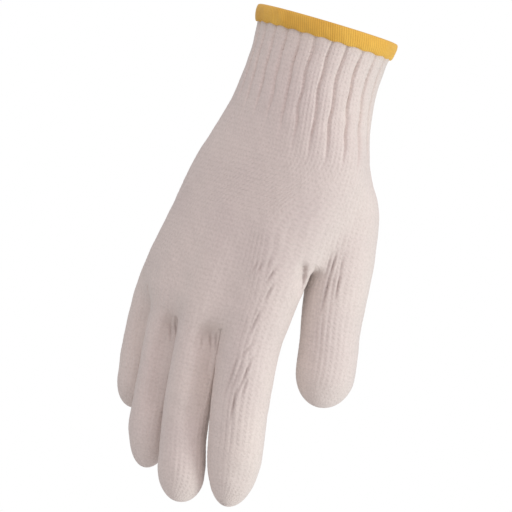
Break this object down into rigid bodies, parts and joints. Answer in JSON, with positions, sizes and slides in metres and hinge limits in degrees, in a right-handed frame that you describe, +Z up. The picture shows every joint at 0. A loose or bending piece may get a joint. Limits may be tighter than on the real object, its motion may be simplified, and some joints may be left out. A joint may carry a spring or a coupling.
{
  "type": "knit work glove",
  "caption": "Seamless string-knit work glove with a ribbed elastic cuff and a coloured overlock hem, shaped as worn with the fingers down and the wrist opening on top.",
  "frame": {"origin": "centre of the wrist opening, level with the top of the hem", "axes": "+Z up the forearm out of the opening, -Y out of the back of the hand, +X to the thumb side"},
  "size_m": [0.1257, 0.0713, 0.2508],
  "materials": {
    "natural_knit": "matt undyed cotton and polyester string yarn, plain knit",
    "hem_yarn": "matt yellow overlock thread"
  },
  "bodies": {
    "root": {"hem_overlock": "hem_yarn", "rib_cuff": "natural_knit", "palm_body": "natural_knit", "thumb": "natural_knit", "index_finger": "natural_knit", "middle_finger": "natural_knit", "ring_finger": "natural_knit", "little_finger": "natural_knit"}
  },
  "joints": []
}
